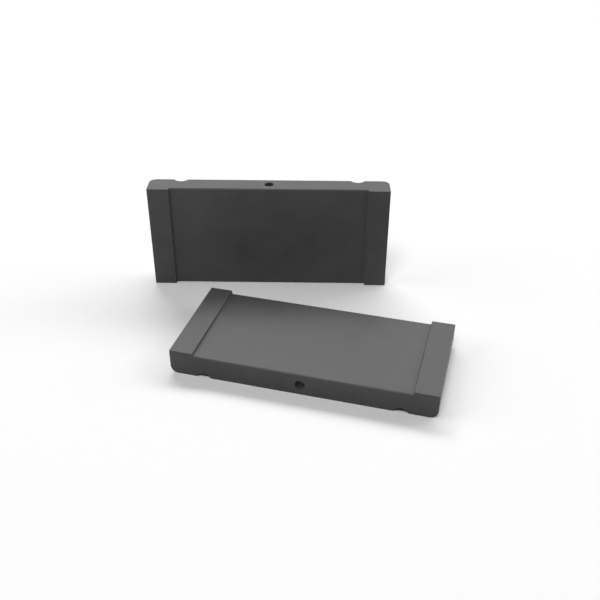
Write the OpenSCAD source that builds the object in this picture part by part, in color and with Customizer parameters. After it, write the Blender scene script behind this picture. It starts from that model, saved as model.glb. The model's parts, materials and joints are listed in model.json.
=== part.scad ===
// Split ferrite core for flat ribbon cable.
// Two equal halves make one core: with the lips of one half on the lips of the other,
// the two shallow channels form the slot that the cable runs through, and a spring clip
// seats in the grooves and dimples to hold the halves together.
// Here the core is open: the lower half lies with its channel up, and the upper half
// stands on a long side behind it with its channel to the front.
// All sizes are in millimetres and degrees. The origin is the middle of the lower half's
// outer face, X runs across the cable, Y along it, and Z is up.

/* [Core half] */
// Length of a half, across the cable
half_length = 63.5; // [54:0.5:90]
// Depth of a half, along the cable
half_depth = 28.6; // [16:0.2:60]
// Thickness of a half, from its outer face to its lips
half_thickness = 6.3; // [5.2:0.1:12]
// Radius of the outer edge at each end
end_edge_radius = 2; // [0.5:0.1:4]

/* [Cable channel] */
// Width of the raised lip at each end
lip_width = 5.7; // [3:0.1:12]
// Depth of the channel floor below the lips
channel_depth = 0.8; // [0.4:0.05:1.6]
// Radius of the channel floor's long edges, which the cable passes over
floor_edge_radius = 0.45; // [0.1:0.05:1]

/* [Clip seats] */
// Distance from the end of a half to the centre line of its groove
groove_from_end = 8.3; // [6.5:0.1:16]
// Radius of the round bottom of a groove
groove_radius = 2; // [1.2:0.1:3]
// Depth of a groove in the outer face
groove_depth = 1.1; // [0.3:0.1:1.8]
// Diameter of the dimple in the middle of each long side
dimple_diameter = 2.4; // [1.4:0.1:4]
// Length of a dimple's straight wall, before its round bottom
dimple_wall = 0.5; // [0.1:0.1:3]
// Height of a dimple's centre above the outer face
dimple_height = 2.65; // [1.6:0.05:3.8]

/* [Layout of the open core] */
// Turn of the standing half about the vertical
stand_turn = 14.4; // [0:0.1:40]
// Sideways place of the standing half's middle
stand_shift = -22.1; // [-60:0.1:60]
// Clear distance between the halves, front to back
stand_gap = 7.4; // [1:0.1:40]

/* [Hidden] */
$fn = 96;
ferrite_grey = "#484848";
// How far a cut runs past the face that it opens
overrun = 1;
channel_width = half_length - 2 * lip_width;
floor_height = half_thickness - channel_depth;
groove_x = half_length / 2 - groove_from_end;
dimple_radius = dimple_diameter / 2;
// Reach of the standing half towards the lying one, from the middle of its outer face
stand_reach = half_length / 2 * sin(stand_turn) + half_thickness * cos(stand_turn);
stand_y = half_depth / 2 + stand_gap + stand_reach;

// What has to go from a square corner at the origin, with the solid in the +X +Y quarter,
// to leave it with a round edge.
module corner_waste(radius) {
    difference() {
        translate([-overrun, -overrun])
            square(radius + overrun);
        translate([radius, radius])
            circle(radius);
    }
}

// Cross-section of a half in X and Z: a plate with a lip at each end of its inner side,
// a round edge at each end of its outer side, and the two clip grooves.
module half_section() {
    difference() {
        translate([-half_length / 2, 0])
            square([half_length, half_thickness]);
        translate([-channel_width / 2, floor_height])
            square([channel_width, channel_depth + overrun]);
        for (flip = [0, 1])
            mirror([flip, 0]) {
                translate([-half_length / 2, 0])
                    corner_waste(end_edge_radius);
                translate([-groove_x, groove_depth - groove_radius])
                    circle(groove_radius);
            }
    }
}

// Waste along the two long edges of the channel floor, between the lips only.
module floor_edge_waste() {
    for (flip = [0, 1])
        mirror([0, flip, 0])
            translate([0, -half_depth / 2, floor_height])
                rotate([90, 0, 90])
                    linear_extrude(channel_width, center = true)
                        mirror([0, 1])
                            corner_waste(floor_edge_radius);
}

// Round-bottomed blind hole that the press leaves in each long side, on the Y axis.
module dimples() {
    for (flip = [0, 1])
        mirror([0, flip, 0])
            translate([0, -half_depth / 2, dimple_height])
                rotate([-90, 0, 0]) {
                    translate([0, 0, -overrun])
                        cylinder(overrun + dimple_wall, dimple_radius, dimple_radius);
                    translate([0, 0, dimple_wall])
                        sphere(dimple_radius);
                }
}

// One half as it leaves the press and the kiln, lying on its outer face.
module core_half() {
    difference() {
        rotate([90, 0, 0])
            linear_extrude(half_depth, center = true)
                half_section();
        floor_edge_waste();
        dimples();
    }
}

module lower_half() {
    color(ferrite_grey)
        core_half();
}

module upper_half() {
    color(ferrite_grey)
        translate([stand_shift, stand_y, half_depth / 2])
            rotate([90, 0, stand_turn])
                core_half();
}

lower_half();
upper_half();
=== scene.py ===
import json
import bpy
import numpy as np
from mathutils import Euler, Matrix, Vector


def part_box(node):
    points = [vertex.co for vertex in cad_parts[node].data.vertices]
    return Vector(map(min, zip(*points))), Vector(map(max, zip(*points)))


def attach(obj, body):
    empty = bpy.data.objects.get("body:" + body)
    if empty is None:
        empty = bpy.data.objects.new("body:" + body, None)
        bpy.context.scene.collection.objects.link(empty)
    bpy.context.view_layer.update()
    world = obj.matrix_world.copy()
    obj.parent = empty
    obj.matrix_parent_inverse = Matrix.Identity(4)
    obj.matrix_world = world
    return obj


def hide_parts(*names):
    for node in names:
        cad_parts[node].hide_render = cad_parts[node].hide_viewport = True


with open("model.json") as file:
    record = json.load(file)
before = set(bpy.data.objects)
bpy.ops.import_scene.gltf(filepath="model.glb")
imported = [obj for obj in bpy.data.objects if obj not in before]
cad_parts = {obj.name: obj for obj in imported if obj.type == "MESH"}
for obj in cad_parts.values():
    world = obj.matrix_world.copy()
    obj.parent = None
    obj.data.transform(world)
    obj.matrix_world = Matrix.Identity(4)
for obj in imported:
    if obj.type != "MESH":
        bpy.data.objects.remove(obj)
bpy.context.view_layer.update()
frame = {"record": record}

# Lower half
# One of two equal plates of sintered ferrite, pressed from powder in a die and then fired, so it is one
# hard brittle body with lightly broken edges. It lies on its outer face with the cable channel up: the lip
# at each end meets the other half's lip, and the ribbon cable runs through between them.
mm = 0.001
lower_low, lower_high = (np.array(corner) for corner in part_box("lower_half"))
half_length, half_depth, half_thickness = lower_high - lower_low
end_edge_radius = 2.0 * mm
lip_width = 5.7 * mm
channel_depth = 0.8 * mm
floor_edge_radius = 0.45 * mm
groove_from_end = 8.3 * mm
groove_radius = 2.0 * mm
groove_depth = 1.1 * mm
dimple_radius = 1.2 * mm
dimple_depth = 1.7 * mm
dimple_height = 2.65 * mm
broken_edge_radius = 0.05 * mm
lip_root_radius = 0.35 * mm
# Room that a groove's mouth has for its broken edges, as a multiple of what they need.
mouth_room = 1.2
# Half the width of the patch of long side that is drawn round a dimple.
patch_half_width = 3.0 * mm
# How finely the mesh is drawn: points on an arc and on a broken edge, columns and rings of the patch round
# a dimple, and rows from the outer face up to the inner one.
arc_points = 13
edge_points = 6
patch_columns = 13
patch_rings = 7
height_rows = 11
mirror_x = np.array([-1.0, 1.0])


def round_corner(before, corner, after, radius, outside):
    """The arc that rounds the corner between two straight stretches, as points and outward normals.

    The arc starts radius times tan(turn / 2) short of the corner. A point on it is the start, plus radius
    times sin(angle) along the first stretch, plus radius times 1 - cos(angle) to the side that it turns to.
    outside is 1 where the outside lies to the left of travel and -1 where it lies to the right.
    """
    before, corner, after = np.array(before), np.array(corner), np.array(after)
    along = (corner - before) / np.linalg.norm(corner - before)
    leaving = (after - corner) / np.linalg.norm(after - corner)
    left = np.array([-along[1], along[0]])
    turn = np.arctan2(leaving @ left, leaving @ along)
    side = left * np.sign(turn)
    angle = np.linspace(0.0, abs(turn), arc_points)[:, None]
    start = corner - along * radius * np.tan(abs(turn) / 2)
    points = start + radius * (np.sin(angle) * along + (1 - np.cos(angle)) * side)
    heading = np.cos(angle) * along + np.sin(angle) * side
    return points, outside * np.stack([-heading[:, 1], heading[:, 0]], axis=1)


def plain_stretch(start, end, count, outward):
    """count points spaced evenly inside the straight stretch from start to end, with one normal."""
    share = np.arange(1, count + 1)[:, None] / (count + 1)
    return np.array(start) + share * (np.array(end) - np.array(start)), np.tile(outward, (count, 1))


def mirrored_run(stretches, height, outward):
    """A run from end to end: the left stretches, the columns by the dimple, and the left mirrored in X."""
    points, normals = (np.concatenate(part) for part in zip(*stretches))
    patch_x = np.linspace(-patch_half_width, patch_half_width, patch_columns)
    patch = np.stack([patch_x, np.full(patch_columns, height)], axis=1)
    patch_out = np.tile(outward, (patch_columns, 1))
    points = np.concatenate([points, patch, points[::-1] * mirror_x])
    return points, np.concatenate([normals, patch_out, normals[::-1] * mirror_x])


def outer_run():
    """The outer face from end to end: round end edge, flat, round-bottomed groove, and the same again.

    The groove's two flanks lean as an arc of groove_radius does at its mouth, and an arc rounds the point
    where they would meet. It is a little tighter, which leaves room for the broken edges of the mouth.
    """
    end = -half_length / 2
    middle = end + groove_from_end
    half_mouth = np.sqrt(groove_radius**2 - (groove_radius - groove_depth) ** 2)
    lean = np.arcsin(half_mouth / groove_radius)
    mouth_outer, mouth_inner = (middle - half_mouth, 0.0), (middle + half_mouth, 0.0)
    meeting = (middle, half_mouth * np.tan(lean))
    bottom_radius = groove_radius - mouth_room * broken_edge_radius * np.tan(lean / 2) / np.tan(lean)
    downward = (0.0, -1.0)
    stretches = [
        round_corner((end, half_thickness), (end, 0.0), (0.0, 0.0), end_edge_radius, -1),
        plain_stretch((end + end_edge_radius, 0.0), mouth_outer, 2 * arc_points, downward),
        round_corner((end, 0.0), mouth_outer, meeting, broken_edge_radius, -1),
        round_corner(mouth_outer, meeting, mouth_inner, bottom_radius, -1),
        round_corner(meeting, mouth_inner, (0.0, 0.0), broken_edge_radius, -1),
    ]
    return mirrored_run(stretches, 0.0, downward)


def inner_run(floor_columns):
    """The inner face from end to end: lip, lip wall, channel floor, and the same again.

    floor_columns are the places along X of the points on the left part of the floor.
    """
    end = -half_length / 2
    wall = end + lip_width
    floor_level = half_thickness - channel_depth
    start, lip_outer, lip_inner = (end, floor_level), (end, half_thickness), (wall, half_thickness)
    lip_root, middle = (wall, floor_level), (0.0, floor_level)
    upward = (0.0, 1.0)
    floor_points = np.stack([floor_columns, np.full(len(floor_columns), floor_level)], axis=1)
    stretches = [
        round_corner(start, lip_outer, lip_inner, broken_edge_radius, 1),
        round_corner(lip_outer, lip_inner, lip_root, broken_edge_radius, 1),
        round_corner(lip_inner, lip_root, middle, lip_root_radius, 1),
        (floor_points, np.tile(upward, (len(floor_points), 1))),
    ]
    return mirrored_run(stretches, floor_level, upward)


def inner_edge_radii():
    """The radius of the long edge at each point of the inner run: small at the lips, larger at the floor.

    The change lies in the root of the lip wall, where the share of the floor's radius is 3 s^2 - 2 s^3.
    """
    s = np.linspace(0.0, 1.0, arc_points)
    left = np.concatenate([np.zeros(2 * arc_points), s * s * (3 - 2 * s), np.ones(3 * arc_points)])
    share = np.concatenate([left, np.ones(patch_columns), left[::-1]])
    return broken_edge_radius + (floor_edge_radius - broken_edge_radius) * share


def sheet_faces(rows, columns, closed):
    """The quads of a grid of points, row by row, joined round to the first column where closed."""
    index = np.arange(rows * columns).reshape(rows, columns)
    if closed:
        index = np.hstack([index, index[:, :1]])
    corners = [index[:-1, :-1], index[:-1, 1:], index[1:, 1:], index[1:, :-1]]
    return np.stack(corners, axis=-1).reshape(-1, 4)


def from_section(section, depth):
    """Section points (x, z) at the given places along Y as points in space."""
    depth = np.broadcast_to(depth, section.shape[:-1])
    return np.stack([section[..., 0], depth, section[..., 1]], axis=-1)


def skin_sheet(outer, outer_out, inner, inner_out, inner_edge):
    """All faces of a half but its long sides: the section of the two runs and the ends, carried along Y.

    Over its last stretch to either side the section draws in by r (1 - cos a) while Y falls short of the
    side by r (1 - sin a), which breaks the edge with the radius r.
    """
    rise = np.linspace(0.0, 1.0, height_rows)[1:-1, None]
    end = outer[0] + rise * (inner[0] - outer[0])
    end_out = np.tile((-1.0, 0.0), (len(end), 1))
    section = np.concatenate([outer, end * mirror_x, inner[::-1], end[::-1]])
    outward = np.concatenate([outer_out, end_out * mirror_x, inner_out[::-1], end_out])
    outer_edge, end_edge = (np.full(len(run), broken_edge_radius) for run in (outer, end))
    edge = np.concatenate([outer_edge, end_edge, inner_edge[::-1], end_edge])
    quarter = np.linspace(np.pi / 2, 0.0, edge_points)
    angle = np.concatenate([quarter, quarter[::-1]])[:, None]
    side = np.repeat([-1.0, 1.0], edge_points)[:, None]
    drawn_in = section - outward * (edge * (1 - np.cos(angle)))[..., None]
    depth = side * (half_depth / 2 - edge * (1 - np.sin(angle)))
    normals = from_section(outward * np.cos(angle)[..., None], side * np.sin(angle))
    return from_section(drawn_in, depth), normals, sheet_faces(len(angle), len(section), True)


def side_sheets(rim_outer, rim_inner):
    """The long side towards -Y and its dimple, as sheets of points, outward normals and faces.

    The side is ruled straight between its two rims, apart from a patch in the middle that runs from a
    square to the round mouth of the dimple. The dimple is a profile turned about its axis: the broken edge
    of its mouth, a straight wall, and a quarter circle down to its bottom.
    """
    rise = np.linspace(0.0, 1.0, height_rows)[:, None, None]
    ruled = rim_outer + rise * (rim_inner - rim_outer)
    first = (len(rim_inner) - patch_columns) // 2
    last = first + patch_columns - 1
    lowest_row, right_column = ruled[0, first:last], ruled[:-1, last]
    highest_row, left_column = ruled[-1, last:first:-1], ruled[:0:-1, first]
    square = np.concatenate([lowest_row, right_column, highest_row, left_column])
    centre = np.array([0.0, dimple_height])
    spoke = (square - centre) / np.linalg.norm(square - centre, axis=1)[:, None]
    mouth = centre + spoke * (dimple_radius + broken_edge_radius)
    share = np.linspace(0.0, 1.0, patch_rings)[:, None, None]
    patch = square + share * (mouth - square)
    sheets = []
    for flat, closed in ((ruled[:, : first + 1], False), (ruled[:, last:], False), (patch, True)):
        points = from_section(flat, -half_depth / 2)
        outward = np.broadcast_to((0.0, -1.0, 0.0), points.shape)
        sheets.append((points, outward, sheet_faces(len(flat), flat.shape[1], closed)))

    edge = np.linspace(0.0, np.pi / 2, edge_points)
    edge_reach = dimple_radius + broken_edge_radius * (1 - np.sin(edge))
    edge_depth = broken_edge_radius * (1 - np.cos(edge))
    bowl = np.linspace(0.0, np.pi / 2, arc_points)
    bowl_reach = dimple_radius * np.cos(bowl)
    bowl_depth = dimple_depth - dimple_radius * (1 - np.sin(bowl))
    reach = np.concatenate([edge_reach, bowl_reach])[:, None, None]
    depth = np.concatenate([edge_depth, bowl_depth])[:, None]
    inward = np.concatenate([np.sin(edge), np.cos(bowl)])[:, None, None]
    to_mouth = np.concatenate([np.cos(edge), np.sin(bowl)])[:, None]
    wall = from_section(centre + reach * spoke, depth - half_depth / 2)
    wall_out = from_section(-inward * spoke, -to_mouth)
    return sheets + [(wall, wall_out, sheet_faces(len(reach), len(spoke), True))]


def join_sheets(sheets):
    """Merges points that sheets share, adds up their normals and turns each face as its normals point."""
    points = np.concatenate([sheet[0].reshape(-1, 3) for sheet in sheets])
    normals = np.concatenate([sheet[1].reshape(-1, 3) for sheet in sheets])
    first_index = np.cumsum([0] + [sheet[0].size // 3 for sheet in sheets[:-1]])
    faces = np.concatenate([sheet[2] + start for sheet, start in zip(sheets, first_index)])
    same = 1e-4 * mm
    cells = np.round(points / same).astype(np.int64)
    _, kept, place = np.unique(cells, axis=0, return_index=True, return_inverse=True)
    place = place.ravel()
    summed = np.zeros((len(kept), 3))
    np.add.at(summed, place, normals)
    normals = summed / np.linalg.norm(summed, axis=1)[:, None]
    points, faces = points[kept], place[faces]
    corners = points[faces]
    facing = np.cross(corners[:, 2] - corners[:, 0], corners[:, 3] - corners[:, 1])
    turned = np.einsum("ij,ij->i", facing, normals[faces].mean(axis=1)) < 0
    faces[turned] = faces[turned, ::-1]
    return points, normals, faces


def pressed_half():
    """One half as points, outward normals and faces: X runs along it, Y across, Z from its outer face."""
    outer, outer_out = outer_run()
    # Both runs have as many points, so that a long side can be ruled between them. The channel floor's
    # columns stand straight above the groove's, which follow the end edge and the flat.
    inner, inner_out = inner_run(outer[3 * arc_points : 6 * arc_points, 0])
    inner_edge = inner_edge_radii()
    skin = skin_sheet(outer, outer_out, inner, inner_out, inner_edge)
    front = side_sheets(outer - outer_out * broken_edge_radius, inner - inner_out * inner_edge[:, None])
    mirror_y = np.array([1.0, -1.0, 1.0])
    back = [(points * mirror_y, normals * mirror_y, faces) for points, normals, faces in front]
    return join_sheets([skin, *front, *back])


def place_half(name, axes, origin, own_offset):
    """Makes the mesh object of one half: its own points times its axes, plus its origin.

    The points in the half's own frame are kept as an attribute for its pattern, moved by own_offset so that
    the two halves don't share one pattern.
    """
    points, normals, faces = pressed_half()
    mesh = bpy.data.meshes.new(name)
    # A quad at the dimple's centre has one corner twice, and is a triangle once that is taken out.
    mesh.from_pydata(points @ axes + origin, [], [list(dict.fromkeys(face)) for face in faces.tolist()])
    mesh.shade_smooth()
    mesh.normals_split_custom_set_from_vertices(normals @ axes)
    own = mesh.attributes.new("half_place", "FLOAT_VECTOR", "POINT")
    own.data.foreach_set("vector", (points + own_offset).astype(np.float32).ravel())
    half = bpy.data.objects.new(name, mesh)
    bpy.context.scene.collection.objects.link(half)
    return half


def linear(hex_colour):
    """An sRGB hex colour as linear red, green, blue and alpha."""
    value = np.array([int(hex_colour[i : i + 2], 16) for i in (1, 3, 5)]) / 255
    value = np.where(value <= 0.04045, value / 12.92, ((value + 0.055) / 1.055) ** 2.4)
    return (*value.tolist(), 1.0)


def add_node(tree, kind, inputs, **settings):
    """Adds a node, sets its properties, and sets or links each input by its name or number."""
    node = tree.nodes.new(kind)
    for name, value in settings.items():
        setattr(node, name, value)
    for name, value in inputs.items():
        if isinstance(value, bpy.types.NodeSocket):
            tree.links.new(value, node.inputs[name])
        else:
            node.inputs[name].default_value = value
    return node


# Sintered ferrite: an iron oxide ceramic, near black, dense and matt. The eye sees a soft broad sheen, a
# faint cloudiness from the firing, fine lines along the way that the half left the die, and close up the
# grain of the powder with a few open pores, whose dark is painted shade in the colour. Where the edges have
# rubbed on others in the tray they are a shade lighter.
ferrite = bpy.data.materials.new("sintered ferrite")
ferrite.use_nodes = True
tree = ferrite.node_tree
tree.nodes.clear()
cloud_size = 7.0 * mm
# The real lines, grain and pores are finer: they are drawn as coarse as they need to be to show.
line_width, line_length, line_height = 0.4 * mm, 12.0 * mm, 0.004 * mm
grain_size, grain_height = 0.25 * mm, 0.006 * mm
pore_spacing, pore_reach, pore_core, pore_depth = 1.6 * mm, 0.09 * mm, 0.045 * mm, 0.03 * mm
# The range that the grain's noise mostly keeps to, and how far it moves the tone between dark and light.
grain_low, grain_high, speckle = 0.3, 0.7, 0.35
# The rubbed width, how far apart the true and the rounded normal are where rubbing starts and where it is
# full, as cosines, and the most that it lightens the skin.
rub_width, rub_start, rub_full, rub_share = 0.18 * mm, 0.98, 0.8, 0.35
ferrite_dark, ferrite_light = linear("#474747"), linear("#555555")
# The pores' dark colour is painted shade: the shade inside each small hollow, put into its colour.
painted_pore_shade, rubbed_light = linear("#2c2c2c"), linear("#686868")
ferrite_roughness, roughness_spread = 0.42, 0.05
# The fired skin is dull: 0.5 would be the whole sheen of a smooth body.
ferrite_sheen = 0.2065
place = add_node(tree, "ShaderNodeAttribute", {}, attribute_name="half_place").outputs["Vector"]
clouds = add_node(tree, "ShaderNodeTexNoise", {"Vector": place, "Scale": 1 / cloud_size, "Detail": 3.0})
drawn = add_node(
    tree,
    "ShaderNodeVectorMath",
    {0: place, 1: (1 / line_width, 1 / line_length, 1 / line_width)},
    operation="MULTIPLY",
)
lines = add_node(
    tree,
    "ShaderNodeTexNoise",
    {"Vector": drawn.outputs["Vector"], "Scale": 1.0, "Detail": 2.0},
)
grain = add_node(tree, "ShaderNodeTexNoise", {"Vector": place, "Scale": 1 / grain_size, "Detail": 2.0})
pores = add_node(tree, "ShaderNodeTexVoronoi", {"Vector": place, "Scale": 1 / pore_spacing})
pore = add_node(
    tree,
    "ShaderNodeMapRange",
    {
        "Value": pores.outputs["Distance"],
        "From Min": pore_core / pore_spacing,
        "From Max": pore_reach / pore_spacing,
        "To Min": 1.0,
        "To Max": 0.0,
    },
    interpolation_type="SMOOTHSTEP",
)
faced = add_node(tree, "ShaderNodeNewGeometry", {})
rounded = add_node(tree, "ShaderNodeBevel", {"Radius": rub_width}, samples=4)
alike = add_node(
    tree,
    "ShaderNodeVectorMath",
    {0: faced.outputs["Normal"], 1: rounded.outputs["Normal"]},
    operation="DOT_PRODUCT",
)
rubbed = add_node(
    tree,
    "ShaderNodeMapRange",
    {
        "Value": alike.outputs["Value"],
        "From Min": rub_start,
        "From Max": rub_full,
        "To Min": 0.0,
        "To Max": rub_share,
    },
)
grains = add_node(
    tree,
    "ShaderNodeMapRange",
    {
        "Value": grain.outputs["Fac"],
        "From Min": grain_low,
        "From Max": grain_high,
        "To Min": -speckle,
        "To Max": speckle,
    },
)
tone = add_node(
    tree,
    "ShaderNodeMath",
    {0: clouds.outputs["Fac"], 1: grains.outputs["Result"]},
    operation="ADD",
)
# A Mix node's colours are its inputs 6 and 7 and its output 2.
body = add_node(
    tree,
    "ShaderNodeMix",
    {"Factor": tone.outputs["Value"], 6: ferrite_dark, 7: ferrite_light},
    data_type="RGBA",
)
worn = add_node(
    tree,
    "ShaderNodeMix",
    {"Factor": rubbed.outputs["Result"], 6: body.outputs[2], 7: rubbed_light},
    data_type="RGBA",
)
# Painted shade: each pore is darkened in the colour, as if by the shade in its hollow; its dip is a bump.
colour = add_node(
    tree,
    "ShaderNodeMix",
    {"Factor": pore.outputs["Result"], 6: worn.outputs[2], 7: painted_pore_shade},
    data_type="RGBA",
)
rough = add_node(
    tree,
    "ShaderNodeMapRange",
    {
        "Value": clouds.outputs["Fac"],
        "To Min": ferrite_roughness - roughness_spread,
        "To Max": ferrite_roughness + roughness_spread,
    },
)
line_bump = add_node(
    tree,
    "ShaderNodeBump",
    {"Height": lines.outputs["Fac"], "Distance": line_height, "Strength": 1.0},
)
grain_bump = add_node(
    tree,
    "ShaderNodeBump",
    {
        "Height": grain.outputs["Fac"],
        "Distance": grain_height,
        "Strength": 1.0,
        "Normal": line_bump.outputs["Normal"],
    },
)
pore_bump = add_node(
    tree,
    "ShaderNodeBump",
    {
        "Height": pore.outputs["Result"],
        "Distance": pore_depth,
        "Strength": 1.0,
        "Normal": grain_bump.outputs["Normal"],
    },
    invert=True,
)
surface = add_node(
    tree,
    "ShaderNodeBsdfPrincipled",
    {
        "Base Color": colour.outputs[2],
        "Roughness": rough.outputs["Result"],
        "Specular IOR Level": ferrite_sheen,
        "Normal": pore_bump.outputs["Normal"],
    },
)
add_node(tree, "ShaderNodeOutputMaterial", {"Surface": surface.outputs["BSDF"]})

lying = np.eye(3)
lower = place_half("ferrite_lower_half", lying, np.zeros(3), np.zeros(3))
lower.data.materials.append(ferrite)
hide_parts("lower_half")
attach(lower, "root")

# Upper half
# The second plate, from the same die and firing. It stands on one long side behind the first with its
# channel turned to it, and its place comes from its outer face in the record.
outer_face = next(mount for mount in frame["record"]["mounts"] if mount["name"] == "upper_outer_face")
inner_way = -np.array(outer_face["axis"])
up = np.array([0.0, 0.0, 1.0])
standing = np.stack([np.cross(up, inner_way), up, inner_way])
upper_pattern_offset = np.array([0.0, 0.0, 0.2])
upper = place_half("ferrite_upper_half", standing, np.array(outer_face["pos_m"]), upper_pattern_offset)
upper.data.materials.append(ferrite)
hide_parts("upper_half")
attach(upper, "root")

# Floor
# A plain white table top, wide enough to fill the view behind the part. It shows at its own white to the
# camera and in reflections, and gives a little less back as bounced light. Far from the part, where the
# lamps don't reach, it is seen as the same plain white.
floor_reach = 3.0
floor_corners = np.array([[-1.0, -1.0, 0.0], [1.0, -1.0, 0.0], [1.0, 1.0, 0.0], [-1.0, 1.0, 0.0]])
floor_mesh = bpy.data.meshes.new("floor")
floor_mesh.from_pydata(floor_reach * floor_corners, [], [[0, 1, 2, 3]])
floor = bpy.data.objects.new("floor", floor_mesh)
bpy.context.scene.collection.objects.link(floor)


def plainly_seen(tree):
    """1 for rays from the camera and off glossy or clear surfaces, 0 for rays that carry bounced light."""
    path = add_node(tree, "ShaderNodeLightPath", {})
    seen = path.outputs["Is Camera Ray"]
    for ray in ("Is Glossy Ray", "Is Transmission Ray"):
        either = add_node(tree, "ShaderNodeMath", {0: seen, 1: path.outputs[ray]}, operation="MAXIMUM")
        seen = either.outputs["Value"]
    return seen


# Matt white paint: no sheen, so the eye sees only its white and the part's soft shadow on it.
floor_white = bpy.data.materials.new("matt white table top")
floor_white.use_nodes = True
tree = floor_white.node_tree
tree.nodes.clear()
seen_white, bounced_white = 0.98, 0.8
fade_start, fade_end = 0.15, 0.45
seen = plainly_seen(tree)
shade = add_node(
    tree,
    "ShaderNodeMapRange",
    {"Value": seen, "To Min": bounced_white, "To Max": seen_white},
)
matt = add_node(tree, "ShaderNodeBsdfDiffuse", {"Color": shade.outputs["Result"]})
spot = add_node(tree, "ShaderNodeTexCoord", {})
away = add_node(tree, "ShaderNodeVectorMath", {0: spot.outputs["Object"]}, operation="LENGTH")
far = add_node(
    tree,
    "ShaderNodeMapRange",
    {"Value": away.outputs["Value"], "From Min": fade_start, "From Max": fade_end},
    interpolation_type="SMOOTHSTEP",
)
faded = add_node(
    tree,
    "ShaderNodeMath",
    {0: far.outputs["Result"], 1: seen},
    operation="MULTIPLY",
)
plain = add_node(tree, "ShaderNodeEmission", {"Strength": 1.0})
mixed = add_node(
    tree,
    "ShaderNodeMixShader",
    {0: faded.outputs["Value"], 1: matt.outputs["BSDF"], 2: plain.outputs["Emission"]},
)
add_node(tree, "ShaderNodeOutputMaterial", {"Surface": mixed.outputs["Shader"]})
floor_mesh.materials.append(floor_white)

# Light
# Large soft boxes round the table, the strongest behind it as a long bar that the upward faces show as
# sheen, and a white room whose walls the camera and the sheen see as plain white.
world = bpy.data.worlds.new("white room")
world.use_nodes = True
tree = world.node_tree
tree.nodes.clear()
room_fill = 0.04
strength = add_node(
    tree,
    "ShaderNodeMapRange",
    {"Value": plainly_seen(tree), "To Min": room_fill, "To Max": 1.0},
)
glow = add_node(
    tree,
    "ShaderNodeBackground",
    {"Color": linear("#ffffff"), "Strength": strength.outputs["Result"]},
)
add_node(tree, "ShaderNodeOutputWorld", {"Surface": glow.outputs["Background"]})
bpy.context.scene.world = world

view_turn = np.radians(15.2155)
box_distance = 1.5
# Cells along each side of a lamp's face, over which its light on the floor is averaged.
lamp_cells = 20


def soft_box(name, heading, size, floor_share, aside=0.0):
    """An oblong area lamp that looks down at the part.

    heading is its azimuth off the view's heading and its elevation, in degrees, and size its width and
    height. aside slides it level along its own face. floor_share is the light that it puts on the floor at
    the origin, where 1 shows a white floor as white: a lamp of power 1 gives the mean over its face of
    cos(slant at the lamp) cos(slant at the floor) / (pi distance)^2.
    """
    azimuth, rise = np.radians(heading)
    width, height = size
    turn = view_turn - azimuth
    facing = np.array([-np.sin(turn) * np.cos(rise), np.cos(turn) * np.cos(rise), np.sin(rise)])
    level = np.array([np.cos(turn), np.sin(turn), 0.0])
    slope = np.cross(facing, level)
    share = (np.arange(lamp_cells) + 0.5) / lamp_cells - 0.5
    across, along = np.meshgrid(aside + share * width, share * height)
    spots = box_distance * facing + across[..., None] * level + along[..., None] * slope
    reach = np.linalg.norm(spots, axis=-1)
    unit_share = np.mean((spots @ facing) * spots[..., 2] / (np.pi**2 * reach**4))
    lamp = bpy.data.lights.new(name, "AREA")
    lamp.shape = "RECTANGLE"
    lamp.size = width
    lamp.size_y = height
    lamp.energy = floor_share / unit_share
    box = bpy.data.objects.new(name, lamp)
    box.location = box_distance * facing + aside * level
    box.rotation_euler = (np.pi / 2 - rise, 0.0, turn + np.pi)
    box.visible_camera = False
    bpy.context.scene.collection.objects.link(box)


soft_box("light bar behind", heading=(10.0, 45.6), size=(2.8, 0.45), floor_share=0.355, aside=0.4)
soft_box("light bar behind, left", heading=(10.0, 46.6), size=(1.0, 0.3), floor_share=0.11, aside=-0.5)
soft_box("soft box over the front", heading=(197.0, 62.0), size=(0.5, 0.5), floor_share=0.32)
soft_box("soft box left", heading=(-90.0, 26.0), size=(0.9, 0.9), floor_share=0.096)
soft_box("soft box right", heading=(77.0, 24.0), size=(0.9, 0.9), floor_share=0.093)

# Camera
# A 50 mm lens on a 36 mm frame, above the part and a little to its right, where it sees the channels of
# both halves. Its place and turn are fitted to the edges in the photograph.
camera_data = bpy.data.cameras.new("camera")
camera_data.lens = 50.0
camera_data.sensor_width = 36.0
camera_data.clip_start = 0.01
camera = bpy.data.objects.new("camera", camera_data)
camera.location = (39.001 * mm, -157.673 * mm, 122.919 * mm)
camera_pitch, camera_roll = np.radians([33.138, 0.2])
unrolled = Euler((np.pi / 2 - camera_pitch, 0.0, view_turn)).to_matrix()
camera.rotation_euler = (unrolled @ Matrix.Rotation(camera_roll, 3, "Z")).to_euler()
bpy.context.scene.collection.objects.link(camera)
bpy.context.scene.camera = camera
bpy.context.scene.view_settings.view_transform = "Standard"
